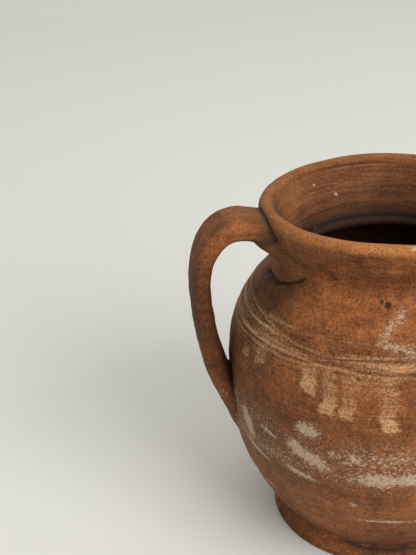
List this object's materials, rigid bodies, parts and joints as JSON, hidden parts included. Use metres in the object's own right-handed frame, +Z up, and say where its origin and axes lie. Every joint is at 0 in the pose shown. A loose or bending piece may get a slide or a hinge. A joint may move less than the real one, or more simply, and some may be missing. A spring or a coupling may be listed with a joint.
{
  "type": "amphora",
  "caption": "Unglazed terracotta storage jar with a ring foot, round belly, incised shoulder, short neck, flared lip and upright strap handles.",
  "frame": {"origin": "centre of the plane the foot stands on, on the jar's axis", "axes": "+Z up along the jar's axis; the handles lie along X, the left one on -X; +Y points to the back"},
  "size_m": [0.2562, 0.208, 0.23],
  "materials": {
    "foot_clay": "unglazed, matt, soot-stained",
    "wall_clay": "unglazed, matt, lime-scuffed",
    "shoulder_clay": "unglazed, matt, incised and slip-wiped",
    "lip_clay": "unglazed, matt, worn",
    "handle_clay": "unglazed, matt",
    "luting_clay": "unglazed, matt, finger-smeared"
  },
  "bodies": {
    "root": {"foot_ring": "foot_clay", "floor_disc": "foot_clay", "lower_wall": "wall_clay", "upper_wall": "shoulder_clay", "neck": "shoulder_clay", "rim_lip": "lip_clay", "left_handle": "handle_clay", "right_handle": "handle_clay", "left_upper_luting": "luting_clay", "right_upper_luting": "luting_clay", "left_lower_luting": "luting_clay", "right_lower_luting": "luting_clay"}
  },
  "joints": []
}
